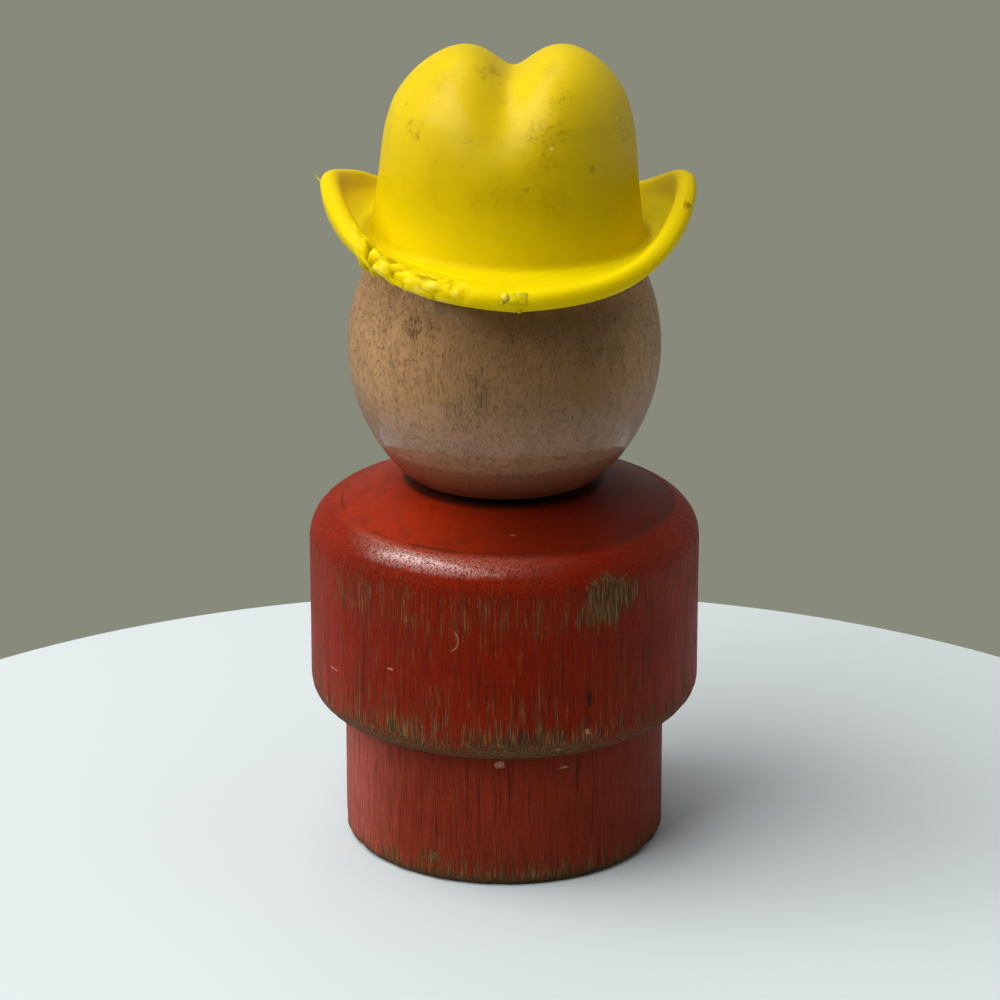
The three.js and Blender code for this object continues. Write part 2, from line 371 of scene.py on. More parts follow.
ridge_radius = DRUM_RADIUS - SHOULDER_RADIUS + SHOULDER_RADIUS * math.cos(math.radians(SHOULDER_SWEEP))
for edge in body.data.edges:
    ends = [body.data.vertices[index].co / MM for index in edge.vertices]
    on_ridge = all(abs(end.xy.length - ridge_radius) < RIDGE_TOLERANCE for end in ends)
    if on_ridge and all(end.z > RIDGE_LEAST_HEIGHT for end in ends):
        edge.use_edge_sharp = True
print("Radius of the shoulder's ridge in millimetres:", round(ridge_radius, 2))

# %% [markdown]
# ## Neck dowel
# A plain dowel joins head and body, and only the thin dark gap between them gives it away. A capped
# cylinder with beveled ends is all that it needs.

# %% Neck dowel
DOWEL_RADIUS = 2.5
DOWEL_FOOT = 15.4
DOWEL_LENGTH = 19.45
DOWEL_CHAMFER = 0.5

dowel_bm = bmesh.new()
bmesh.ops.create_cone(
    dowel_bm, cap_ends=True, segments=96, radius1=DOWEL_RADIUS, radius2=DOWEL_RADIUS, depth=DOWEL_LENGTH
)
bmesh.ops.translate(dowel_bm, vec=(0, 0, DOWEL_FOOT + DOWEL_LENGTH / 2), verts=dowel_bm.verts)
dowel_rims = [edge for edge in dowel_bm.edges if abs(edge.verts[0].co.z - edge.verts[1].co.z) < 0.01]
bmesh.ops.bevel(
    dowel_bm, geom=dowel_rims, offset=DOWEL_CHAMFER, offset_type="OFFSET", segments=3, profile=0.5,
    affect="EDGES", material=-1,
)
dowel = finish_piece(dowel_bm, "neck_dowel_turned", "torso", "neck_dowel")

# %% [markdown]
# ## Head
# The head is a turned ball, a little taller than wide, cut flat below and drilled from both ends. Its
# outline is one round stroke that is then stretched upwards. The hat leans by a degree and a half, so the
# hole for its stem does too: the ring round the top of the ball is slid over the ball's surface, and then
# extruded down the leaning axis.

# %% Head outline
HEAD_RADIUS = 10.4
HEAD_HALF_HEIGHT = 11.2
HEAD_CENTRE = 34.6
HEAD_FLAT = -8.75
HEAD_FLAT_EDGE = 0.3
DOWEL_HOLE_RADIUS = 2.6
DOWEL_HOLE_END = 0.45
STEM_HOLE_RADIUS = 1.82
STEM_HOLE_FLOOR = 4.6
HAT_LEAN = math.radians(1.5)
HAT_TURN = math.radians(2.2)
HEAD_STEPS = 320

rim_angle = math.degrees(math.acos(STEM_HOLE_RADIUS / HEAD_RADIUS))
flat_angle = -math.degrees(math.asin(HEAD_FLAT / HEAD_HALF_HEIGHT))
head_bm = bmesh.new()
tip = pen_start(head_bm, STEM_HOLE_RADIUS, HEAD_RADIUS * math.sin(math.radians(rim_angle)))
tip = pen_arc(head_bm, tip, 0, 0, -rim_angle - flat_angle, 110)
bmesh.ops.scale(head_bm, vec=(1, 1, HEAD_HALF_HEIGHT / HEAD_RADIUS), verts=head_bm.verts)
tip = pen_line(head_bm, tip, DOWEL_HOLE_RADIUS, HEAD_FLAT, cuts=3)
tip = pen_line(head_bm, tip, DOWEL_HOLE_RADIUS, DOWEL_HOLE_END)
pen_line(head_bm, tip, 0, DOWEL_HOLE_END)
turn_on_lathe(head_bm, HEAD_STEPS)
print("Flat starts", round(flat_angle, 1), "degrees below the middle")

# %% Head holes and edges
SLIDE_REACH = 5
FLAT_EDGE_INSIDE = 6.2
FLAT_EDGE_TURN = 0.3

lean_axis = Vector((math.sin(HAT_LEAN), 0, math.cos(HAT_LEAN)))
for vert in head_bm.verts:
    reach = math.hypot(vert.co.x, vert.co.y)
    if STEM_HOLE_RADIUS - 0.01 < reach < SLIDE_REACH and vert.co.z > HEAD_RADIUS / 2:
        share = (SLIDE_REACH - reach) / (SLIDE_REACH - STEM_HOLE_RADIUS)
        vert.co.x += share * HEAD_HALF_HEIGHT * math.tan(HAT_LEAN)
        inside = (vert.co.x ** 2 + vert.co.y ** 2) / HEAD_RADIUS ** 2
        vert.co.z = HEAD_HALF_HEIGHT * math.sqrt(1 - inside)
hole_rim = [edge for edge in head_bm.edges if edge.is_boundary]
hole_wall = bmesh.ops.extrude_edge_only(head_bm, edges=hole_rim)["geom"]
for vert in (item for item in hole_wall if isinstance(item, bmesh.types.BMVert)):
    vert.co -= lean_axis * (vert.co.dot(lean_axis) - STEM_HOLE_FLOOR)
hole_floor = [item for item in hole_wall if isinstance(item, bmesh.types.BMEdge) and item.is_boundary]
bmesh.ops.edgeloop_fill(head_bm, edges=hole_floor)
bmesh.ops.recalc_face_normals(head_bm, faces=head_bm.faces)
flat_edge = [
    edge for edge in head_bm.edges
    if all(abs(vert.co.z - HEAD_FLAT) < 0.01 for vert in edge.verts)
    and all(math.hypot(vert.co.x, vert.co.y) > FLAT_EDGE_INSIDE for vert in edge.verts)
    and len(edge.link_faces) == 2 and edge.calc_face_angle() > FLAT_EDGE_TURN
]
bmesh.ops.bevel(
    head_bm, geom=flat_edge, offset=HEAD_FLAT_EDGE, offset_type="OFFSET", segments=4, profile=0.5,
    affect="EDGES", material=-1,
)
bmesh.ops.translate(head_bm, vec=(0, 0, HEAD_CENTRE), verts=head_bm.verts)
print("Edges rounded under the head:", len(flat_edge))
head = finish_piece(head_bm, "head_ball", "head", "head")

# %% [markdown]
# ## Hat outline
# The hat is one soft plastic moulding: a stem that plugs into the head, a thin crown and a brim. It is
# drawn flat first, as the tool maker would turn it, with a fine flash line left round the rim where the
# mould halves met. The crown's arch is a quarter circle whose vertices are pushed out towards a squarer
# curve.

# %% Hat outline
STEM_RADIUS = 1.7
STEM_CHAMFER = 0.4
STEM_TIP = 4.8
HAT_WALL = 1.2
MOUTH_RADIUS = 8.7
SEAT_GAP = 0.3
CROWN_RADIUS = 8.95
ARCH_RADIUS = 8.4
ARCH_FOOT = 4.7
CROWN_HEIGHT = 12.9
CROWN_ROUNDNESS = 2.4
FOOT_RADIUS = 0.5
BRIM_THICKNESS = 1.15
BRIM_SIDE_WIDTH = 5.55
RIM_EDGE = 0.52
FLASH = 0.015
HAT_STEPS = 360


def ball_height(radius):
    return HEAD_HALF_HEIGHT * math.sqrt(1 - (radius / HEAD_RADIUS) ** 2)


BRIM_UNDER = ball_height(MOUTH_RADIUS - SEAT_GAP)
BRIM_TOP = BRIM_UNDER + BRIM_THICKNESS
BRIM_MIDDLE = BRIM_UNDER + BRIM_THICKNESS / 2
RIM_RADIUS = CROWN_RADIUS + BRIM_SIDE_WIDTH
CROWN_TOP = BRIM_TOP + CROWN_HEIGHT
ARCH_BASE = BRIM_TOP + ARCH_FOOT


def pen_arch(bm, tip, radius, rise, degrees, steps):
    known = set(bm.verts)
    first = math.radians(max(0, -degrees))
    tip.co = (math.cos(first), 0, math.sin(first))
    end = pen_arc(bm, tip, 0, 0, degrees, steps)
    for vert in [tip] + [vert for vert in bm.verts if vert not in known]:
        across = radius * max(0, vert.co.x) ** (2 / CROWN_ROUNDNESS)
        up = rise * max(0, vert.co.z) ** (2 / CROWN_ROUNDNESS)
        vert.co = (across, 0, ARCH_BASE + up)
    return end


hat_bm = bmesh.new()
inner_radius = ARCH_RADIUS - HAT_WALL
inner_rise = CROWN_TOP - ARCH_BASE - HAT_WALL
stem_angle = math.degrees(math.acos((STEM_RADIUS / inner_radius) ** (CROWN_ROUNDNESS / 2)))
tip = pen_start(hat_bm, 0, STEM_TIP)
tip = pen_line(hat_bm, tip, STEM_RADIUS - STEM_CHAMFER, STEM_TIP, cuts=1)
tip = pen_arc(hat_bm, tip, STEM_RADIUS - STEM_CHAMFER, STEM_TIP + STEM_CHAMFER, 90, 5)
tip = pen_line(hat_bm, tip, STEM_RADIUS, CROWN_TOP - HAT_WALL, cuts=9)
tip = pen_arch(hat_bm, tip, inner_radius, inner_rise, -stem_angle, 26)
throat_radius = CROWN_RADIUS - HAT_WALL
tip = pen_line(hat_bm, tip, throat_radius, ball_height(throat_radius - SEAT_GAP), cuts=5)
tip = pen_line(hat_bm, tip, MOUTH_RADIUS, BRIM_UNDER, cuts=3)
tip = pen_line(hat_bm, tip, RIM_RADIUS - RIM_EDGE, BRIM_UNDER, cuts=20)
tip = pen_arc(hat_bm, tip, RIM_RADIUS - RIM_EDGE, BRIM_UNDER + RIM_EDGE, 90, 9)
tip = pen_line(hat_bm, tip, RIM_RADIUS + FLASH, BRIM_MIDDLE)
tip = pen_line(hat_bm, tip, RIM_RADIUS, BRIM_TOP - RIM_EDGE)
tip = pen_arc(hat_bm, tip, RIM_RADIUS - RIM_EDGE, BRIM_TOP - RIM_EDGE, 90, 9)
tip = pen_line(hat_bm, tip, CROWN_RADIUS + FOOT_RADIUS, BRIM_TOP, cuts=22)
tip = pen_arc(hat_bm, tip, CROWN_RADIUS + FOOT_RADIUS, BRIM_TOP + FOOT_RADIUS, -90, 6)
tip = pen_line(hat_bm, tip, ARCH_RADIUS, ARCH_BASE, cuts=14)
tip = pen_arch(hat_bm, tip, ARCH_RADIUS, CROWN_TOP - ARCH_BASE, 90, 46)
tip.co.x = 0
print("Outline vertices:", len(hat_bm.verts))

# %% Hat turned
SMOOTHED_FROM = BRIM_TOP + 1.2
SMOOTHED_TO = ARCH_BASE + 4
SMOOTHED_OUTSIDE = inner_radius + 0.3
SMOOTHING_ROUNDS = 25

hat_shoulder = [
    vert for vert in hat_bm.verts
    if SMOOTHED_FROM < vert.co.z < SMOOTHED_TO and vert.co.x > SMOOTHED_OUTSIDE
]
for _ in range(SMOOTHING_ROUNDS):
    bmesh.ops.smooth_vert(hat_bm, verts=hat_shoulder, factor=0.5, use_axis_x=True, use_axis_z=True)
turn_on_lathe(hat_bm, HAT_STEPS)
print("Hat vertices:", len(hat_bm.verts))

# %% [markdown]
# ## Curling the brim and pressing the crease
# A flat brim is no hat of this kind. Its two sides curl up and its front and back droop a little, and the
# crown has a crease pressed from front to back. Both are vertex moves, because the shape changes all the
# way round. Each direction has its own curve from the crown to the rim, with a knee between them, and a
# brim point is moved on to it. The far left of the rim is lifted a little more. A crown point sinks by a
# bell-shaped depth that fades down the wall.

# %% Brim and crease
QUARTER_TURN = math.pi / 2
RIM_AT_SIDES = 11.65
RIM_AT_ENDS = 12.22
RIM_DROP = 0.5
RIM_RISE_LEFT = 4.05
RIM_RISE_RIGHT = 4.5
RIM_BEAD = 0.1
SIDE_CURL = 0.8
SIDE_SHARPNESS = 4.5
EVEN_CURL = 0.2
FAR_LEFT_LIFT = 0.13
FAR_LEFT_MIDDLE = 143
FAR_LEFT_WIDTH = 15
KNEE_AT_ENDS = 0.5
KNEE_SHIFT = 0.32
CREASE_DEPTH = 2.1
CREASE_HALF_WIDTH = 2.25
CREASE_FOOT = CROWN_TOP - 7.6
CREASE_TURN = math.radians(-5)
SHELL_SHIFT = -0.03
CROWN_TILT = 0.04


def step_up(value, start, end):
    share = min(1, max(0, (value - start) / (end - start)))
    return share * share * (3 - 2 * share)


def side_share(angle):
    sideways = abs(math.cos(angle))
    lifted = FAR_LEFT_LIFT * bell(math.degrees(angle), FAR_LEFT_MIDDLE, FAR_LEFT_WIDTH)
    return SIDE_CURL * sideways ** SIDE_SHARPNESS + EVEN_CURL * sideways + lifted


def roll_brim(angle, reach, layer, past_rim=0):
    share = side_share(angle)
    width = RIM_AT_ENDS + (RIM_AT_SIDES - RIM_AT_ENDS) * math.cos(angle) ** 2 - CROWN_RADIUS
    rise = (RIM_RISE_RIGHT if math.cos(angle) > 0 else RIM_RISE_LEFT) * share - RIM_DROP
    knee = Vector((width * (KNEE_AT_ENDS + KNEE_SHIFT * share), 0))
    rim = Vector((width, rise))
    heading = (knee * (1 - reach) + (rim - knee) * reach).normalized()
    spot = knee * 2 * reach * (1 - reach) + rim * reach ** 2 + heading * past_rim
    out = CROWN_RADIUS + spot.x - layer * heading.y
    up = BRIM_MIDDLE + spot.y + layer * heading.x
    return out, up, math.atan2(heading.y, heading.x)


def crease_depth(place):
    across = place.x * math.cos(CREASE_TURN) + place.y * math.sin(CREASE_TURN)
    return CREASE_DEPTH * step_up(place.z, CREASE_FOOT, CROWN_TOP) * bell(across, 0, CREASE_HALF_WIDTH)


print("Slope of the rim at the left in degrees:", round(math.degrees(roll_brim(math.pi, 1, 0)[2])))

# %% [markdown]
# ## Chewed edge and folds in the brim
# One stretch of the rim has been chewed: the edge is pushed in and out in lumps, with a deep notch, and
# two soft folds run from the crown's foot to the damage. It could be sculpted by hand, but here a list
# gives the large lumps, noise bends and crumbles them, and the moves follow the rim's own slope. Two
# attributes are kept for the plastic: how far a vertex was chewed, which makes the lumps pale and puts
# painted shade in the crevices between them, and how far it lies inside the curled sides, which gets a
# painted glow there.

# %% Chewed edge
CHEW_START = 203
CHEW_FULL = 221
CHEW_FADING = 248
CHEW_END = 264
CHEW_ROUGH = 0.085
CHEW_FINE = 0.035
CHEW_BEND = 6
LUMPS = [
    (213.8, 3.4, 0.08), (221.4, 1.5, -0.5), (227.4, 3.8, 0.1), (233.2, 1.3, -0.2), (238.4, 3.5, 0.02),
    (243.6, 1.1, -0.2), (248.6, 3.4, -0.04), (253.8, 1.6, -0.1),
]


def chew_share(degrees, reach):
    along = step_up(degrees, CHEW_START, CHEW_FULL) * (1 - step_up(degrees, CHEW_FADING, CHEW_END))
    return along * step_up(reach, 0.66, 0.9)


def chew_noise(place, fineness, seed):
    return noise.noise(place * fineness + Vector(seed))


def chew_moves(place, degrees, share):
    bent = degrees + CHEW_BEND * chew_noise(place, 1.1, (4, 2, 6))
    lump = sum(size * bell(bent, middle, width) for middle, width, size in LUMPS)
    rough = chew_noise(place, 1.6, (2, 7, 1))
    fine = chew_noise(place, 3.4, (5, 1, 3))
    crumbly = CHEW_ROUGH * rough + CHEW_FINE * fine
    outwards = share * (lump + crumbly)
    upwards = share * (0.7 * lump + 0.6 * crumbly)
    # Below zero this marks the crevices between lumps, which the plastic darkens as painted shade.
    pale = max(-1, min(1, 2.4 * lump + 1.1 * rough + 0.9 * fine))
    return outwards, upwards, share * pale


print("Lumps in the chewed rim:", len(LUMPS))

# %% Folds
FOLD_START = 208
FOLD_FULL = 216
FOLD_FADING = 250
FOLD_END = 262
FOLD_FOOT = 0.08
FOLD_SLANT = 0.6 / 52
FOLD_WIDTH = 0.06
FOLDS = [(0.0, 0.14), (-0.2, 0.05)]


def fold_depth(degrees, reach):
    along = step_up(degrees, FOLD_START, FOLD_FULL) * (1 - step_up(degrees, FOLD_FADING, FOLD_END))
    line = FOLD_FOOT + FOLD_SLANT * (degrees - FOLD_START)
    return along * sum(depth * bell(reach, line + offset, FOLD_WIDTH) for offset, depth in FOLDS)


print("Folds in the brim:", len(FOLDS))

# %% Hat shaped
hat_place = Matrix.Translation((0, 0, HEAD_CENTRE)) @ Matrix.Rotation(HAT_LEAN, 4, "Y")
hat_place = hat_place @ Matrix.Rotation(HAT_TURN, 4, "Z")
chewed_layer = hat_bm.verts.layers.float.new("chewed")
painted_glow_layer = hat_bm.verts.layers.float.new("painted_glow")
for vert in hat_bm.verts:
    angle = math.atan2(vert.co.y, vert.co.x)
    degrees = math.degrees(angle) % 360
    reach = (math.hypot(vert.co.x, vert.co.y) - CROWN_RADIUS) / (BRIM_SIDE_WIDTH - RIM_EDGE)
    if reach > 0:
        past_rim = max(0, reach - 1) * (BRIM_SIDE_WIDTH - RIM_EDGE)
        reach = min(1, reach)
        layer = vert.co.z - BRIM_MIDDLE
        if layer > 0:
            layer -= fold_depth(degrees, reach)
        bead = 1 + 2 * RIM_BEAD / BRIM_THICKNESS * step_up(reach, 0.6, 0.92)
        out, up, turn = roll_brim(angle, reach, layer * bead, past_rim * bead)
        share = chew_share(degrees, reach)
        place = Vector((out * math.cos(angle), out * math.sin(angle), up))
        outwards, upwards, pale = chew_moves(place, degrees, share)
        out += outwards * math.cos(turn) - upwards * math.sin(turn)
        up += outwards * math.sin(turn) + upwards * math.cos(turn)
        vert.co = (out * math.cos(angle), out * math.sin(angle), up)
        vert[chewed_layer] = pale
        # The insides of the curled sides are marked here for a painted glow in the plastic.
        if layer > 0:
            inside = step_up(reach, 0.05, 0.3) * (1 - step_up(reach, 0.7, 0.95))
            vert[painted_glow_layer] = side_share(angle) * inside
    inward = (Vector((0, 0, CREASE_FOOT)) - vert.co).normalized()
    vert.co += inward * crease_depth(vert.co)
    if math.hypot(vert.co.x, vert.co.y) > STEM_RADIUS + 0.01 or vert.co.z > CREASE_FOOT:
        vert.co.x += SHELL_SHIFT
        vert.co.z += CROWN_TILT * vert.co.x * step_up(vert.co.z, ARCH_BASE, CROWN_TOP)
bmesh.ops.transform(hat_bm, matrix=hat_place, verts=hat_bm.verts)
hat = finish_piece(hat_bm, "hat_moulding", "hat", "hat", sharp_angle=50)

# %% [markdown]
# ## Gate mark
# At the back of the rim a squarish scar shows where the plastic was fed into the mould, with crumbs of
# flash beside and under it, and a whisker of flash stands out at the left tip. They could be part of the
# rim, but as small pieces of their own they keep the hat's mesh plain: a beveled block roughened by
# noise, tiny round crumbs and a thin tapered thread, all sunk a little into the rim.

# %% Gate mark
GATE_DEGREES = 270.8
GATE_SIZE = (1.25, 0.6, 0.85)
GATE_ROUNDING = 0.22
GATE_ROUGH = 0.07
GATE_LAYER = 0.42
GATE_PAST_RIM = 0.25
GATE_TILT = math.radians(-30)
GATE_SEED = 4
# The crumb under the rim is marked -1, which the plastic darkens, partly as dirt and partly as a painted
# shade under the rim.
GATE_CRUMBS = [
    ((-0.82, -0.06, 0.06), 0.3, 0.6), ((-0.98, -0.06, -0.22), 0.24, 0.4), ((0.12, -0.04, -0.8), 0.17, -1),
]

gate_angle = math.radians(GATE_DEGREES)
gate_out, gate_up, _ = roll_brim(gate_angle, 1, GATE_LAYER, GATE_PAST_RIM)
gate_spot = Vector((gate_out * math.cos(gate_angle), gate_out * math.sin(gate_angle), gate_up))
gate_bm = bmesh.new()
bmesh.ops.create_cube(gate_bm, size=1)
bmesh.ops.scale(gate_bm, vec=GATE_SIZE, verts=gate_bm.verts)
bmesh.ops.bevel(
    gate_bm, geom=gate_bm.edges[:], offset=GATE_ROUNDING, offset_type="OFFSET", segments=4, profile=0.5,
    affect="EDGES", material=-1,
)
bmesh.ops.subdivide_edges(gate_bm, edges=gate_bm.edges[:], cuts=3, use_grid_fill=True)
gate_chewed = gate_bm.verts.layers.float.new("chewed")
noise.seed_set(GATE_SEED)
for vert in gate_bm.verts:
    vert[gate_chewed] = 1.6 * noise.noise(vert.co * 2.7 + Vector((3, 1, 4)))
    vert.co += GATE_ROUGH * noise.noise_vector(vert.co * 2.4)
bmesh.ops.rotate(gate_bm, matrix=Matrix.Rotation(GATE_TILT, 3, "X"), verts=gate_bm.verts)
bmesh.ops.rotate(gate_bm, matrix=Matrix.Rotation(gate_angle + QUARTER_TURN, 3, "Z"), verts=gate_bm.verts)
bmesh.ops.translate(gate_bm, vec=gate_spot, verts=gate_bm.verts)
for spot, size, pale in GATE_CRUMBS:
    crumb = bmesh.ops.create_icosphere(gate_bm, subdivisions=3, radius=size)["verts"]
    bmesh.ops.translate(gate_bm, vec=gate_spot + Vector(spot), verts=crumb)
    for vert in crumb:
        vert[gate_chewed] = pale
bmesh.ops.transform(gate_bm, matrix=hat_place, verts=gate_bm.verts)
gate_mark = finish_piece(gate_bm, "hat_gate_mark", "hat")

# %% Flash whisker
WHISKER_LENGTH = 0.7
WHISKER_FOOT_RADIUS = 0.09
WHISKER_END_RADIUS = 0.03
WHISKER_BEND = 0.5
WHISKER_TILT = math.radians(-62)
WHISKER_SHIFT = Vector((-0.12, 0, 0.1))

left_tip = min((vert.co / MM for vert in hat.data.vertices), key=lambda place: place.x)
whisker_bm = bmesh.new()
bmesh.ops.create_cone(
    whisker_bm, cap_ends=True, segments=12, radius1=WHISKER_FOOT_RADIUS, radius2=WHISKER_END_RADIUS,
    depth=WHISKER_LENGTH,
)
long_edges = [edge for edge in whisker_bm.edges if edge.calc_length() > WHISKER_LENGTH / 2]
bmesh.ops.subdivide_edges(whisker_bm, edges=long_edges, cuts=4)
for vert in whisker_bm.verts:
    vert.co.x += WHISKER_BEND * (vert.co.z + WHISKER_LENGTH / 2) ** 2
bmesh.ops.rotate(whisker_bm, matrix=Matrix.Rotation(WHISKER_TILT, 3, "Y"), verts=whisker_bm.verts)
bmesh.ops.translate(whisker_bm, vec=left_tip + WHISKER_SHIFT, verts=whisker_bm.verts)
whisker = finish_piece(whisker_bm, "hat_flash_whisker", "hat")

# %% [markdown]
# ## Shared surface effects
# Most surface effects, such as grain, smudges and marks, turn up on more than one piece, so each is a
# node group that is built once. Each reads a place in millimetres and gives a value or a mask. All of
# them are solid patterns in space, so the grain runs through the wood as it does in a real block, and no
# surface needs an unwrapped map.


# %% Group helpers
def new_group(name, inputs, output):
    tree = bpy.data.node_groups.new(name, "ShaderNodeTree")
    for label, value in inputs.items():
        kind = "NodeSocketVector" if isinstance(value, tuple) else "NodeSocketFloat"
        tree.interface.new_socket(label, in_out="INPUT", socket_type=kind).default_value = value
    tree.interface.new_socket(output, in_out="OUTPUT", socket_type="NodeSocketFloat")
    given = tree.nodes.new("NodeGroupInput").outputs
    return tree, given, tree.nodes.new("NodeGroupOutput").inputs[0]


def vector_step(tree, operation, first, second=None):
    node = add_node(tree, "ShaderNodeVectorMath", operation=operation)
    plug(tree, node.inputs[0], first)
    if operation == "SCALE":
        plug(tree, node.inputs["Scale"], second)
    elif second is not None:
        plug(tree, node.inputs[1], second)
    return node.outputs["Value" if operation == "LENGTH" else "Vector"]


def noise_value(tree, place, scale, detail=2.0, roughness=0.55, seed=0.0):
    inputs = {"Vector": place, "W": seed, "Scale": scale, "Detail": detail, "Roughness": roughness}
    return add_node(tree, "ShaderNodeTexNoise", inputs, noise_dimensions="4D").outputs[0]


def stretch(tree, given):
    inputs = {0: given["Width"], 1: given["Width"], 2: given["Length"]}
    size = add_node(tree, "ShaderNodeCombineXYZ", inputs).outputs[0]
    return vector_step(tree, "DIVIDE", given["Place"], size)


def shrink(tree, place, size):
    return vector_step(tree, "SCALE", place, calculate(tree, "DIVIDE", 1, size))


def line_mask(tree, off_line, width, soft_from):
    share = calculate(tree, "DIVIDE", calculate(tree, "ABSOLUTE", off_line), width)
    return fade(tree, share, 1, soft_from)


print("Group helpers ready")

# %% Grain, smudges and wrinkles
grain_group, given, result = new_group(
    "wood_grain", {"Place": (0, 0, 0), "Width": 0.3, "Length": 4.0, "Seed": 0.0}, "Value"
)
stretched = stretch(grain_group, given)
plug(grain_group, result, noise_value(grain_group, stretched, 1.0, 3.0, 0.6, given["Seed"]))

smudge_group, given, result = new_group("smudge", {"Place": (0, 0, 0), "Size": 3.0, "Seed": 0.0}, "Value")
shrunk = shrink(smudge_group, given["Place"], given["Size"])
plug(smudge_group, result, noise_value(smudge_group, shrunk, 1.0, 4.0, 0.6, given["Seed"]))

wrinkle_group, given, result = new_group(
    "wrinkles", {"Place": (0, 0, 0), "Width": 0.3, "Length": 0.6, "Thickness": 0.04, "Seed": 0.0}, "Mask"
)
level = noise_value(wrinkle_group, stretch(wrinkle_group, given), 1.0, 1.0, 0.5, given["Seed"])
off_line = calculate(wrinkle_group, "SUBTRACT", level, 0.5)
plug(wrinkle_group, result, line_mask(wrinkle_group, off_line, given["Thickness"], 0))
print("Patterns:", [group.name for group in bpy.data.node_groups])

# %% Marks, scratches and specks
mark_group, given, result = new_group(
    "mark",
    {"Place": (0, 0, 0), "Centre": (0, 0, 0), "Size": (1, 1, 1), "Ragged": 0.4, "Fineness": 2.0},
    "Mask",
)
from_centre = vector_step(mark_group, "SUBTRACT", given["Place"], given["Centre"])
from_centre = vector_step(mark_group, "DIVIDE", from_centre, given["Size"])
distance = vector_step(mark_group, "LENGTH", from_centre)
wobble = calculate(mark_group, "SUBTRACT", noise_value(mark_group, given["Place"], given["Fineness"]), 0.5)
wobble = times(mark_group, wobble, given["Ragged"])
plug(mark_group, result, fade(mark_group, calculate(mark_group, "ADD", distance, wobble), 1, 0.55))

scratch_group, given, result = new_group(
    "round_scratch", {"Place": (0, 0, 0), "Centre": (0, 0, 0), "Radius": 1.0, "Width": 0.05}, "Mask"
)
from_centre = vector_step(scratch_group, "SUBTRACT", given["Place"], given["Centre"])
distance = vector_step(scratch_group, "LENGTH", from_centre)
off_line = calculate(scratch_group, "SUBTRACT", distance, given["Radius"])
plug(scratch_group, result, line_mask(scratch_group, off_line, given["Width"], 0.4))

speck_group, given, result = new_group(
    "specks", {"Place": (0, 0, 0), "Spacing": 1.0, "Size": 0.2, "Share": 0.3}, "Mask"
)
shrunk = shrink(speck_group, given["Place"], given["Spacing"])
cells = add_node(speck_group, "ShaderNodeTexVoronoi", {"Vector": shrunk, "Scale": 1.0}).outputs
chosen = add_node(speck_group, "ShaderNodeSeparateColor", {0: cells["Color"]}).outputs[0]
chosen = calculate(speck_group, "LESS_THAN", chosen, given["Share"])
near = calculate(speck_group, "DIVIDE", cells["Distance"], given["Size"])
plug(speck_group, result, times(speck_group, chosen, fade(speck_group, near, 1, 0.4)))
print("Effect groups:", len(bpy.data.node_groups))

# %% Placing the effects
RAMP_TOP = 25


def millimetres(tree):
    place = add_node(tree, "ShaderNodeTexCoord").outputs["Object"]
    return vector_step(tree, "SCALE", place, 1 / MM)


def effect(tree, group, place, **values):
    node = add_node(tree, "ShaderNodeGroup", node_tree=group)
    plug(tree, node.inputs["Place"], place)
    for name, value in values.items():
        plug(tree, node.inputs[name], value)
    return node.outputs[0]


def marks(tree, place, places, **values):
    total = 0.0
    for centre, size, strength in places:
        mask = effect(tree, mark_group, place, Centre=centre, Size=size, **values)
        total = calculate(tree, "MAXIMUM", times(tree, mask, strength), total)
    return total


def height_ramp(tree, height, stops):
    node = add_node(tree, "ShaderNodeValToRGB", {0: calculate(tree, "DIVIDE", height, RAMP_TOP)})
    points = node.color_ramp.elements
    while len(points) < len(stops):
        points.new(0.5)
    for point, (level, value) in zip(points, stops):
        point.position = level / RAMP_TOP
        point.color = (value, value, value, 1)
    return node.outputs[0]


def relief(tree, shader, height, distance, strength):
    inputs = {"Height": height, "Distance": distance * MM, "Strength": strength}
    plug(tree, shader.inputs["Normal"], add_node(tree, "ShaderNodeBump", inputs).outputs[0])


print("Effects can be placed")

# %% [markdown]
# ## Worn red paint
# The body was dipped in one coat of red. Handling has worn it through along the raised grain, most of all
# at the drum's lower edge, under the shoulder and round the foot, where grey-brown wood shows. A grain
# value is raised where wear is expected, by height and by single marks, and where it passes a threshold
# the paint is gone. Fine dark cracks follow the grain, and hands have worn a polish onto the shoulder's
# ridge, which a patchy clear coat gives. Light and shade are painted in as well: the drum's sides and the
# base's left side are a lighter red, a painted sheen; the top is a lighter red, a painted light from
# above, with a painted shade on its right and a thin painted shade line inside the ridge; the top under
# the head is a painted shade; and the patches of polish are a paler red, a painted highlight.

# %% Worn red paint: wear
BODY_WEAR = [
    (0, 0.9), (0.4, 0.72), (1.0, 0.44), (2.0, 0.18), (4, 0.08), (8, 0.06), (9.45, 0.12), (9.65, 0.85),
    (10.1, 0.74), (10.8, 0.54), (11.6, 0.44), (12.6, 0.34), (13.8, 0.25), (15.8, 0.14), (18.2, 0.19),
    (19.4, 0.33), (21.2, 0.31), (22, 0.12), (23, 0.05), (24.2, 0),
]
BARE_PATCHES = [
    ((7.05, -11.03, 20.95), (2.7, 2.5, 1.9), 0.6),
    ((5.6, -11.8, 20.4), (1.2, 1.2, 1.5), 0.2),
    ((2.2, -12.9, 11.0), (5.5, 2.0, 1.6), 0.2),
    ((-8.2, -10.0, 11.2), (4.5, 3.5, 1.7), 0.12),
    ((-4.98, -9.58, 1.78), (0.9, 0.9, 0.6), 0.4),
    ((-9.2, 9.3, 12.2), (2.4, 2.4, 1.8), 0.3),
    ((3.1, 12.7, 19.6), (2.8, 2.0, 1.6), 0.36),
]

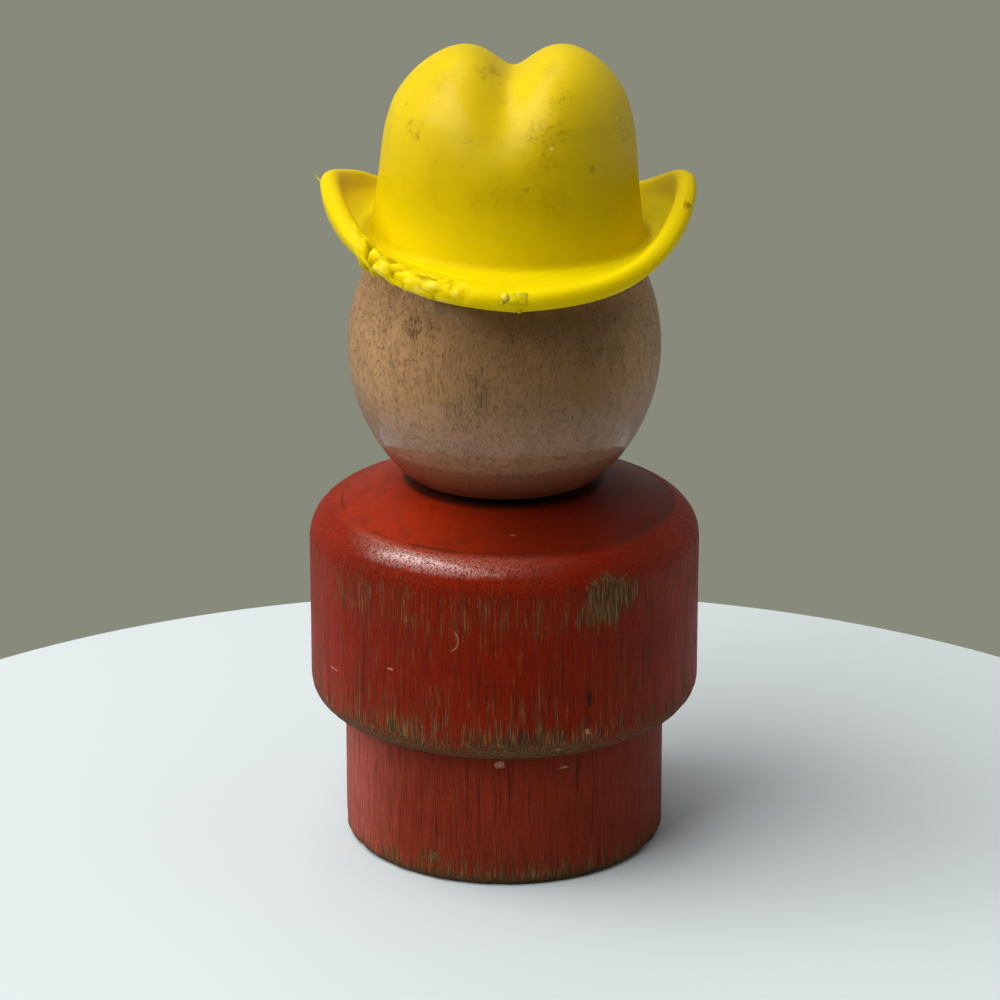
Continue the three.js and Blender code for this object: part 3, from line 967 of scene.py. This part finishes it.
paint, tree, shader = new_material("worn_red_paint")
place = millimetres(tree)
across, deep, height = add_node(tree, "ShaderNodeSeparateXYZ", {0: place}).outputs
thin = fade(tree, effect(tree, grain_group, place, Width=0.08, Length=1.8, Seed=4.0), 0.36, 0.64)
broad = fade(tree, effect(tree, grain_group, place, Width=0.5, Length=6.0, Seed=1.0), 0.34, 0.66)
hairs = effect(tree, grain_group, place, Width=0.11, Length=1.8, Seed=8.0)
grain = calculate(tree, "MULTIPLY_ADD", thin, 0.66, times(tree, broad, 0.34))
cloudy = effect(tree, smudge_group, place, Size=4.0, Seed=2.0)
wear = height_ramp(tree, height, BODY_WEAR)
wear = times(tree, wear, calculate(tree, "MULTIPLY_ADD", cloudy, 1.2, 0.4))
wear = calculate(tree, "ADD", wear, marks(tree, place, BARE_PATCHES, Ragged=1.0, Fineness=0.6))
bare = fade(tree, calculate(tree, "ADD", wear, grain), 0.84, 1.12)
print("Bare patches:", len(BARE_PATCHES))

# %% Worn red paint: reds
DRUM_RED = (0.19, 0.008, 0.001, 1)
DRUM_SIDE_PAINTED_SHEEN = (0.26, 0.011, 0.001, 1)
TOP_PAINTED_LIT_RED = (0.26, 0.016, 0.0022, 1)
TOP_PAINTED_SHADE_RED = (0.105, 0.006, 0.001, 1)
BASE_RED = (0.21, 0.021, 0.009, 1)
BASE_LEFT_PAINTED_SHEEN = (0.39, 0.07, 0.048, 1)
GRAIN_RED = (0.06, 0.007, 0.003, 1)
CRACK_DARK = (0.022, 0.006, 0.003, 1)

# The base's left side is painted a paler pink red, a painted sheen from the light on the left.
base_red = colour_mix(tree, fade(tree, across, -6, -10.4), BASE_RED, BASE_LEFT_PAINTED_SHEEN)
# The drum's left and right sides are painted a lighter red, a painted sheen where light grazes them.
off_middle = calculate(tree, "ABSOLUTE", across)
drum_red = colour_mix(tree, fade(tree, off_middle, 8.5, 12.8), DRUM_RED, DRUM_SIDE_PAINTED_SHEEN)
red = colour_mix(tree, fade(tree, height, 8.5, 10.5), base_red, drum_red)
# The top is painted a lighter red than the drum, a painted light from above, and it darkens to the right, a
# painted shade of the head.
top_painted_red = colour_mix(tree, fade(tree, across, -8, 3), TOP_PAINTED_LIT_RED, TOP_PAINTED_SHADE_RED)
blotches = fade(tree, effect(tree, smudge_group, place, Size=0.9, Seed=15.0), 0.42, 0.7)
top_painted_red = stain(tree, top_painted_red, GRAIN_RED, blotches, 0.35)
red = colour_mix(tree, fade(tree, height, 23.45, 23.6), red, top_painted_red)
valleys = fade(tree, effect(tree, grain_group, place, Width=0.12, Length=2.6, Seed=12.0), 0.46, 0.62)
valleys = times(tree, valleys, fade(tree, height, 22.6, 20.5))
red = stain(tree, red, GRAIN_RED, valleys, 0.48)
red = stain(tree, red, GRAIN_RED, fade(tree, cloudy, 0.4, 0.75), 0.3)
cracks = fade(tree, effect(tree, grain_group, place, Width=0.16, Length=6.0, Seed=21.0), 0.6, 0.68)
cracks = times(tree, cracks, fade(tree, height, 21.5, 19.5))
red = stain(tree, red, CRACK_DARK, cracks, 0.75)
# A thin dark line on the top just inside the ridge is a painted shade line that the shape does not have.
ridge_painted_shade = times(tree, fade(tree, height, 23.66, 23.71), fade(tree, height, 23.8, 23.73))
ridge_painted_shade = times(tree, ridge_painted_shade, fade(tree, cloudy, 0.35, 0.6))
red = stain(tree, red, GRAIN_RED, ridge_painted_shade, 0.75)
print("Reds mixed for base, drum and top")

# %% Worn red paint: bare wood, scratches and grime
BARE_WOOD = (0.185, 0.108, 0.045, 1)
GREY_WOOD = (0.045, 0.035, 0.013, 1)
SCRATCH_PALE = (0.42, 0.2, 0.12, 1)
NICK_DARK = (0.02, 0.014, 0.01, 1)
FOOT_GRIME = (0.03, 0.024, 0.01, 1)
GAP_PAINTED_SHADE = (0.02, 0.006, 0.004, 1)
RING_CENTRE = (-3.75, -12.5, 18.4)
RING_PART = [((-3.1, -12.7, 18.25), (0.8, 0.5, 0.95), 0.6)]
EDGE_GRIME = [(0, 0.75), (0.3, 0.6), (0.9, 0.1), (9.5, 0), (9.62, 0.7), (10.0, 0.3), (10.6, 0)]
PALE_SCRATCHES = [
    ((-11.3, -6.6, 14.0), (0.7, 0.7, 0.09), 0.7),
    ((-7.44, -10.77, 15.66), (0.35, 0.35, 0.08), 0.9),
    ((-11.7, -5.5, 11.4), (0.3, 0.3, 0.5), 0.5),
    ((-0.3, -10.79, 8.84), (0.42, 0.5, 0.3), 1.0),
    ((4.0, -10.03, 8.35), (0.45, 0.5, 0.1), 0.9),
    ((5.47, -11.89, 11.7), (0.2, 0.3, 0.25), 0.8),
    ((3.6, -12.5, 10.6), (0.4, 0.4, 0.1), 0.8),
    ((-10.3, -3.0, 7.4), (0.4, 0.6, 0.08), 0.5),
    ((0.6, -9.15, 24.42), (0.3, 0.08, 0.2), 0.22),
]
DARK_NICKS = [
    ((5.59, -11.83, 13.9), (0.24, 0.4, 0.7), 0.85),
    ((5.5, -11.88, 12.5), (0.2, 0.4, 0.7), 0.5),
    ((1.2, -13.0, 11.6), (0.4, 0.4, 0.9), 0.6),
    ((0.4, -13.0, 11.2), (0.3, 0.4, 0.6), 0.5),
]

wood = colour_mix(tree, fade(tree, hairs, 0.44, 0.62), GREY_WOOD, BARE_WOOD)
thinness = calculate(tree, "MULTIPLY_ADD", fade(tree, wear, 0.12, 0.6), 0.4, 0.5)
skin = colour_mix(tree, times(tree, bare, thinness), red, wood)
ring = effect(tree, scratch_group, place, Centre=RING_CENTRE, Radius=0.8, Width=0.06)
ring = times(tree, ring, marks(tree, place, RING_PART))
pale = calculate(tree, "MAXIMUM", ring, marks(tree, place, PALE_SCRATCHES, Ragged=1.5, Fineness=4.0))
skin = colour_mix(tree, pale, skin, SCRATCH_PALE)
nicks = marks(tree, place, DARK_NICKS, Ragged=1.8, Fineness=4.0)
skin = colour_mix(tree, nicks, skin, NICK_DARK)
edge_grime = times(tree, height_ramp(tree, height, EDGE_GRIME), fade(tree, hairs, 0.3, 0.55))
skin = colour_mix(tree, edge_grime, skin, FOOT_GRIME)
# The top under the head is painted nearly black, a painted shade in the gap between head and body.
flat_place = add_node(tree, "ShaderNodeCombineXYZ", {0: across, 1: deep}).outputs[0]
gap_shade = fade(tree, vector_step(tree, "LENGTH", flat_place), 7.0, 6.5)
skin = stain(tree, skin, GAP_PAINTED_SHADE, gap_shade, 0.85)
print("Pale scratches:", len(PALE_SCRATCHES))

# %% Worn red paint: gloss
HIGHLIGHT_PAINTED_RED = (0.5, 0.17, 0.12, 1)
DULLNESS = [(0, 0.5), (9.5, 0.45), (12, 0.38), (21, 0.33), (23.2, 0.28), (25, 0.3)]
PITTING = [(0, 0.25), (20.5, 0.25), (21.8, 0.9), (23.45, 0.9), (23.56, 0)]
POLISH_AND_HIGHLIGHT = [(0, 0), (22.55, 0), (22.95, 0.45), (23.25, 1), (23.56, 1), (23.66, 0)]

gloss = calculate(tree, "MULTIPLY_ADD", cloudy, 0.16, height_ramp(tree, height, DULLNESS))
roughness = calculate(tree, "MULTIPLY_ADD", bare, 0.25, gloss)
plug(tree, shader.inputs["Roughness"], roughness)
pits = effect(tree, wrinkle_group, place, Width=0.19, Length=0.34, Thickness=0.08, Seed=5.0)
pits = times(tree, pits, height_ramp(tree, height, PITTING))
skin = stain(tree, skin, GRAIN_RED, pits, 0.55)
polish_highlight_patch = times(tree, fade(tree, across, -10.8, -7.8), fade(tree, across, 6, -3.5))
polish_highlight_patch = times(tree, polish_highlight_patch, fade(tree, deep, -3, -7))
ragged = fade(tree, effect(tree, grain_group, place, Width=0.13, Length=0.45, Seed=9.0), 0.36, 0.56)
coat = times(tree, height_ramp(tree, height, POLISH_AND_HIGHLIGHT), times(tree, polish_highlight_patch, ragged))
# The same patches are also painted a paler red, a painted highlight on the shoulder's ridge.
skin = stain(tree, skin, HIGHLIGHT_PAINTED_RED, coat, 0.4)
plug(tree, shader.inputs["Base Color"], skin)
plug(tree, shader.inputs["Coat Weight"], coat)
plug(tree, shader.inputs["Coat Roughness"], 0.2)
plug(tree, shader.inputs["Coat IOR"], 1.8)
plug(tree, shader.inputs["Specular IOR Level"], 0.16)
plug(tree, shader.inputs["Specular Tint"], (1, 0.3, 0.08, 1))
print("Polished band starts at", POLISH_AND_HIGHLIGHT[1][0], "millimetres")

# %% Worn red paint: relief
SIDE_GRAIN = [(0, 1), (21.5, 1), (23.0, 0.1)]

side_grain = times(tree, grain, height_ramp(tree, height, SIDE_GRAIN))
lumps = calculate(tree, "MULTIPLY_ADD", bare, -0.4, times(tree, side_grain, 0.8))
lumps = calculate(tree, "MULTIPLY_ADD", valleys, -0.3, lumps)
lumps = calculate(tree, "MULTIPLY_ADD", cracks, -0.6, lumps)
relief(tree, shader, calculate(tree, "MULTIPLY_ADD", pits, -0.8, lumps), 0.1, 0.6)
body.data.materials.append(paint)
print(body.name, "wears", paint.name)

# %% [markdown]
# ## Bare wood of the head
# The ball was only lacquered. Dirt has filled the open pores of its pale wood, which show as short dark
# dashes along the grain. The middle and right of the ball are painted darker brown, a painted shade away
# from the lit left side, and its lower half is painted pinker with a red band at the bottom, a painted
# reflection of the red body. A painted face, two plain dots and a smile, is on the far side. The satin
# lacquer is a thin clear coat over the wood.

# %% Head wood: grain and pores
HEAD_TAN = (0.38, 0.218, 0.1, 1)
HEAD_PINK_REFLECTION = (0.32, 0.165, 0.09, 1)
HEAD_RED_REFLECTION = (0.17, 0.022, 0.008, 1)
HEAD_SHELTERED = (0.42, 0.235, 0.085, 1)
HEAD_BROWN = (0.17, 0.09, 0.036, 1)
PORE_DIRT = (0.07, 0.042, 0.019, 1)
DIRT_CLUSTERS = [
    ((-5.9, -7.81, 38.2), (0.9, 0.9, 1.2), 0.14),
    ((-1.5, -10.24, 34.6), (0.6, 0.8, 2.6), 0.07),
    ((0.5, -10.0, 37.3), (0.8, 0.8, 1.6), 0.05),
    ((6.3, -7.9, 37.8), (3.0, 3.0, 2.6), 0.06),
    ((-3.3, -9.7, 33.0), (0.8, 0.8, 1.8), 0.05),
]

head_wood, tree, shader = new_material("browned_head_wood")
place = millimetres(tree)
across, deep, height = add_node(tree, "ShaderNodeSeparateXYZ", {0: place}).outputs
clouds = effect(tree, smudge_group, place, Size=4.5, Seed=3.0)
figure = effect(tree, grain_group, place, Width=0.9, Length=9.0, Seed=2.0)
cracks = effect(tree, grain_group, place, Width=0.15, Length=2.6, Seed=6.0)
dashes = effect(tree, grain_group, place, Width=0.085, Length=0.45, Seed=9.0)
curls = effect(tree, wrinkle_group, place, Width=0.34, Length=0.7, Thickness=0.04, Seed=2.0)
mottle = effect(tree, smudge_group, place, Size=0.45, Seed=4.0)
dirt = marks(tree, place, DIRT_CLUSTERS, Ragged=1.0, Fineness=1.2)
dirt = calculate(tree, "ADD", dirt, times(tree, clouds, 0.12))
pores = fade(tree, calculate(tree, "ADD", cracks, dirt), 0.69, 0.78)
small_pores = fade(tree, calculate(tree, "ADD", dashes, dirt), 0.58, 0.72)
small_pores = times(tree, small_pores, fade(tree, clouds, 0.32, 0.6))
curls = times(tree, curls, fade(tree, mottle, 0.42, 0.6))
# The middle and right of the ball are painted darker brown, a painted shade away from the lit left side.
middle_painted_shade = times(tree, fade(tree, across, -8.5, 0.5), fade(tree, across, 10, 5))
wood = stain(tree, HEAD_TAN, HEAD_BROWN, middle_painted_shade, 0.8)
wood = colour_mix(tree, fade(tree, height, 38.8, 41.2), wood, HEAD_SHELTERED)
# The lower half is painted pinker and a band at the bottom red, a painted reflection of the red body below.
wood = colour_mix(tree, fade(tree, height, 34, 30), wood, HEAD_PINK_REFLECTION)
red_reflection_band = times(tree, fade(tree, height, 28.6, 26.2), 0.42)
red_reflection_band = calculate(tree, "MULTIPLY_ADD", fade(tree, height, 28.65, 28.25), 0.52, red_reflection_band)
wood = colour_mix(tree, red_reflection_band, wood, HEAD_RED_REFLECTION)
wood = stain(tree, wood, HEAD_BROWN, fade(tree, figure, 0.42, 0.7), 0.3)
wood = stain(tree, wood, HEAD_BROWN, fade(tree, mottle, 0.42, 0.7), 0.35)
lines = effect(tree, grain_group, place, Width=0.15, Length=5.0, Seed=14.0)
wood = stain(tree, wood, HEAD_BROWN, fade(tree, lines, 0.5, 0.66), 0.3)
wood = stain(tree, wood, PORE_DIRT, curls, 0.42)
wood = stain(tree, wood, PORE_DIRT, small_pores, 0.4)
wood = stain(tree, wood, PORE_DIRT, pores, 0.75)
print("Dirt clusters:", len(DIRT_CLUSTERS))

# %% Head wood: face
FACE_PAINT = (0.018, 0.014, 0.013, 1)
SMILE_CENTRE = (0, 9.9, 35.2)
SMILE_RADIUS = 3.3
SMILE_WIDTH = 0.34
EYES = [((-3.4, 9.6, 36.2), (0.62, 1.2, 0.8), 1.0), ((3.4, 9.6, 36.2), (0.62, 1.2, 0.8), 1.0)]

smile = effect(tree, scratch_group, place, Centre=SMILE_CENTRE, Radius=SMILE_RADIUS, Width=SMILE_WIDTH)
smile = times(tree, smile, fade(tree, height, 32.9, 32.7))
smile = times(tree, smile, calculate(tree, "GREATER_THAN", deep, 0))
drawn = calculate(tree, "MAXIMUM", marks(tree, place, EYES, Ragged=0.06, Fineness=1.0), smile)
plug(tree, shader.inputs["Base Color"], colour_mix(tree, drawn, wood, FACE_PAINT))
print("Eyes painted:", len(EYES))

# %% Head wood: lacquer and relief
dull = calculate(tree, "MULTIPLY_ADD", clouds, 0.2, 0.28)
dull = calculate(tree, "MULTIPLY_ADD", pores, 0.2, dull)
lacquer = calculate(tree, "MULTIPLY_ADD", fade(tree, height, 36, 30), 0.5, 0.1)
plug(tree, shader.inputs["Roughness"], dull)
plug(tree, shader.inputs["Specular IOR Level"], 0.1)
plug(tree, shader.inputs["Specular Tint"], (1, 0.7, 0.4, 1))
plug(tree, shader.inputs["Coat Weight"], lacquer)
plug(tree, shader.inputs["Coat Roughness"], 0.14)
sunk = calculate(tree, "MULTIPLY_ADD", pores, -0.8, times(tree, mottle, 0.6))
sunk = calculate(tree, "MULTIPLY_ADD", curls, -0.6, sunk)
relief(tree, shader, calculate(tree, "MULTIPLY_ADD", small_pores, -0.4, sunk), 0.09, 0.7)
head.data.materials.append(head_wood)
print(head.name, "wears", head_wood.name)

# %% [markdown]
# ## Dowel wood
# The dowel is plain hardwood, painted very dark, a painted shade of the gap that shows it. The same grain
# group with wider spacing is enough for that.

# %% Dowel wood
# Both dowel tones are very dark, a painted shade of the gap under the head.
DOWEL_SHADED_PALE = (0.07, 0.035, 0.018, 1)
DOWEL_SHADED_DARK = (0.03, 0.016, 0.009, 1)

dowel_wood, tree, shader = new_material("plain_dowel_wood")
place = millimetres(tree)
lines = effect(tree, grain_group, place, Width=0.3, Length=6.0, Seed=3.0)
plug(tree, shader.inputs["Base Color"], colour_mix(tree, lines, DOWEL_SHADED_PALE, DOWEL_SHADED_DARK))
plug(tree, shader.inputs["Roughness"], calculate(tree, "MULTIPLY_ADD", lines, 0.2, 0.5))
relief(tree, shader, lines, 0.05, 0.4)
dowel.data.materials.append(dowel_wood)
print(dowel.name, "wears", dowel_wood.name)

# %% [markdown]
# ## Yellow hat plastic
# The hat is soft satin plastic, yellow right through. It has picked up specks of dirt, scuffed patches on
# the crown and a few pale scratches, and where it was chewed it has gone pale, with painted shade in the
# crevices between the lumps. The insides of the curled brim are painted a much lighter yellow, a painted
# glow, and the whole hat is a little lighter towards the brim. A little unevenness in gloss and surface
# keeps it from looking new.

# %% Hat plastic: colours
HAT_YELLOW = (0.6, 0.436, 0.0009, 1)
HAT_DEEP = (0.55, 0.395, 0.0009, 1)
HAT_GLOW_YELLOW = (0.94, 0.81, 0.0012, 1)

plastic, tree, shader = new_material("yellow_hat_plastic")
place = millimetres(tree)
clouds = effect(tree, smudge_group, place, Size=6.0, Seed=7.0)
mottle = effect(tree, smudge_group, place, Size=0.7, Seed=3.0)
height = add_node(tree, "ShaderNodeSeparateXYZ", {0: place}).outputs[2]
# Inside the curled brim the yellow is painted much lighter, a painted glow, and the hat is a little lighter
# towards the brim.
painted_glow = add_node(tree, "ShaderNodeAttribute", attribute_name="painted_glow").outputs["Fac"]
painted_glow = calculate(tree, "MAXIMUM", painted_glow, times(tree, fade(tree, height, 47, 43), 0.25))
yellow = colour_mix(tree, fade(tree, clouds, 0.35, 0.7), HAT_YELLOW, HAT_DEEP)
yellow = colour_mix(tree, painted_glow, yellow, HAT_GLOW_YELLOW)
print("Yellows mixed for", plastic.name)

# %% Hat plastic: dirt and scuffs
HAT_PALE = (0.76, 0.65, 0.14, 1)
HAT_DIRT_AND_SHADE = (0.16, 0.1, 0.008, 1)
HAT_SPECKS = [
    ((-6.29, -2.99, 51.61), (0.2, 0.25, 0.4), 0.4),
    ((-5.55, -5.27, 50.23), (0.25, 0.3, 0.35), 0.35),
    ((-2.33, -7.05, 50.32), (0.4, 0.3, 0.26), 0.35),
    ((5.59, -6.39, 48.36), (0.24, 0.3, 0.3), 0.45),
    ((1.36, -8.17, 47.47), (0.3, 0.3, 0.25), 0.4),
    ((-0.75, -1.52, 53.55), (0.6, 1.0, 0.6), 0.3),
    ((11.85, -3.5, 45.1), (0.3, 0.45, 0.34), 0.75),
]
SCUFFED = [
    ((2.6, -7.0, 50.8), (1.3, 1.6, 1.3), 0.9),
    ((2.4, -7.6, 49.2), (1.4, 1.2, 1.0), 0.8),
    ((3.7, -5.6, 52.4), (1.0, 1.0, 0.7), 0.8),
    ((2.9, -3.6, 54.2), (1.4, 1.2, 0.6), 0.6),
    ((-1.1, -2.5, 53.6), (1.2, 1.4, 0.8), 0.8),
    ((-5.8, -4.9, 50.5), (1.0, 1.0, 1.0), 0.6),
    ((7.6, -3.2, 50.2), (0.9, 1.0, 1.2), 0.7),
    ((3.2, -8.2, 46.4), (1.6, 0.9, 1.1), 0.4),
    ((-1.0, -8.5, 47.0), (2.2, 0.9, 1.0), 0.3),
]
PALE_LINES = [
    ((6.58, -3.78, 51.5), (0.12, 0.3, 0.55), 0.8),
    ((7.11, -3.51, 50.95), (0.3, 0.3, 0.1), 0.8),
    ((3.0, -7.4, 50.0), (0.16, 0.3, 0.14), 0.8),
    ((2.5, -6.3, 51.6), (0.12, 0.3, 0.16), 0.8),
    ((3.7, -7.2, 48.6), (0.1, 0.3, 0.22), 0.7),
]

fine_dirt = effect(tree, smudge_group, place, Size=0.34, Seed=6.0)
scuffs = marks(tree, place, SCUFFED, Ragged=2.4, Fineness=1.1)
yellow = stain(tree, yellow, HAT_DIRT_AND_SHADE, scuffs, 0.1)
scuffs = times(tree, scuffs, fade(tree, fine_dirt, 0.5, 0.66))
soiled = effect(tree, smudge_group, place, Size=1.6, Seed=11.0)
soiled = times(tree, fade(tree, soiled, 0.5, 0.8), fade(tree, height, 43, 48))
grime = effect(tree, speck_group, place, Spacing=2.2, Size=0.09, Share=0.4)
grime = times(tree, grime, fade(tree, mottle, 0.45, 0.6))
grime = calculate(tree, "MAXIMUM", grime, times(tree, scuffs, 0.95))
spots = marks(tree, place, HAT_SPECKS, Ragged=2.4, Fineness=4.0)
grime = calculate(tree, "MAXIMUM", times(tree, grime, 0.6), spots)
yellow = stain(tree, yellow, HAT_DIRT_AND_SHADE, soiled, 0.2)
yellow = colour_mix(tree, grime, yellow, HAT_DIRT_AND_SHADE)
yellow = colour_mix(tree, marks(tree, place, PALE_LINES, Ragged=0.7, Fineness=3.0), yellow, HAT_PALE)
chewed = add_node(tree, "ShaderNodeAttribute", attribute_name="chewed").outputs["Fac"]
# Where chewed is below zero, in the crevices between the lumps, the yellow is darkened, a painted shade.
yellow = stain(tree, yellow, HAT_DIRT_AND_SHADE, fade(tree, chewed, 0, -1), 0.45)
yellow = stain(tree, yellow, HAT_PALE, fade(tree, chewed, 0, 1), 0.45)
plug(tree, shader.inputs["Base Color"], yellow)
print("Hat specks:", len(HAT_SPECKS))

# %% Hat plastic: gloss and relief
dull = calculate(tree, "MULTIPLY_ADD", clouds, 0.16, 0.32)
dull = calculate(tree, "MULTIPLY_ADD", scuffs, 0.2, dull)
plug(tree, shader.inputs["Roughness"], dull)
skin = calculate(tree, "MULTIPLY_ADD", scuffs, -0.5, times(tree, mottle, 0.25))
relief(tree, shader, skin, 0.08, 0.35)
plug(tree, shader.inputs["Specular IOR Level"], 0.04)
plug(tree, shader.inputs["Specular Tint"], (1, 0.9, 0.4, 1))
plug(tree, shader.inputs["Coat Weight"], times(tree, fade(tree, height, 46, 50), 0.25))
plug(tree, shader.inputs["Coat Roughness"], 0.36)
plug(tree, shader.inputs["Subsurface Weight"], 0.6)
plug(tree, shader.inputs["Subsurface Radius"], (1, 0.9, 0.03))
plug(tree, shader.inputs["Subsurface Scale"], 1.4 * MM)
for moulding in (hat, gate_mark, whisker):
    moulding.data.materials.append(plastic)
print(hat.name, "wears", plastic.name)
